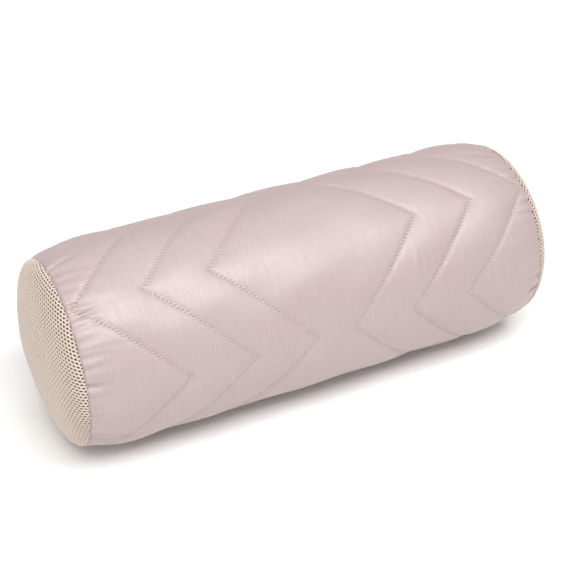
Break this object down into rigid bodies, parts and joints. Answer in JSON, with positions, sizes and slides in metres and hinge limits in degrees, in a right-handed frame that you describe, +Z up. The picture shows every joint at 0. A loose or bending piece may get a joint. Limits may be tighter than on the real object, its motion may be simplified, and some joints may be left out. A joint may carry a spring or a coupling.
{
  "type": "bolster pillow",
  "caption": "Cylindrical bolster pillow with a chevron-quilted zip-off satin cover, domed spacer-mesh ends and a fibre-filled inner.",
  "frame": {"origin": "on the ground under the middle of the bolster", "axes": "+X along the bolster, +Y to the back where the zip is, +Z up"},
  "size_m": [0.4, 0.1501, 0.1463],
  "materials": {
    "satin": "satin weave, soft sheen",
    "wadding": "needled polyester wadding",
    "lining": "plain-weave lining",
    "quilting_thread": "polyester sewing thread",
    "spacer_mesh": "warp-knitted spacer mesh with oval holes",
    "seam_thread": "polyester sewing thread",
    "zip_tape": "woven polyester tape",
    "zip_coil": "dyed nylon coil",
    "zip_metal": "nickel plate",
    "casing_cotton": "plain-weave cotton",
    "casing_thread": "polyester sewing thread",
    "polyester_fibre": "loose hollow-fibre filling"
  },
  "bodies": {
    "cover": {"cover_face": "satin", "cover_wadding": "wadding", "cover_lining": "lining", "quilt_thread_left_1": "quilting_thread", "quilt_thread_left_2": "quilting_thread", "quilt_thread_left_3": "quilting_thread", "quilt_thread_right_1": "quilting_thread", "quilt_thread_right_2": "quilting_thread", "quilt_thread_right_3": "quilting_thread", "mesh_end_left": "spacer_mesh", "mesh_end_right": "spacer_mesh", "seam_thread_left": "seam_thread", "seam_thread_right": "seam_thread", "zip_tape_upper": "zip_tape", "zip_tape_lower": "zip_tape", "zip_stitch_upper": "seam_thread", "zip_stitch_lower": "seam_thread", "zip_coil_upper": "zip_coil", "zip_coil_lower": "zip_coil", "zip_top_stop_upper": "zip_metal", "zip_top_stop_lower": "zip_metal", "zip_bottom_stop": "zip_metal", "inner_casing_tube": "casing_cotton", "inner_casing_end_left": "casing_cotton", "inner_casing_end_right": "casing_cotton", "inner_seam_thread_left": "casing_thread", "inner_seam_thread_right": "casing_thread", "inner_closing_thread": "casing_thread", "fibre_fill": "polyester_fibre"},
    "slider": {"zip_slider": "zip_metal"},
    "pull_tab": {"zip_pull_tab": "zip_metal"}
  },
  "joints": [
    {"name": "zip_slide", "type": "slide", "parent": "cover", "child": "slider", "axis": [-1, 0, 0], "range_m": [0, 0.276]},
    {"name": "tab_hinge", "type": "hinge", "parent": "slider", "child": "pull_tab", "pos_m": [0.138, 0.0738, 0.09177], "axis": [0, 0.2588, -0.9659], "range_deg": [0, 165]}
  ]
}
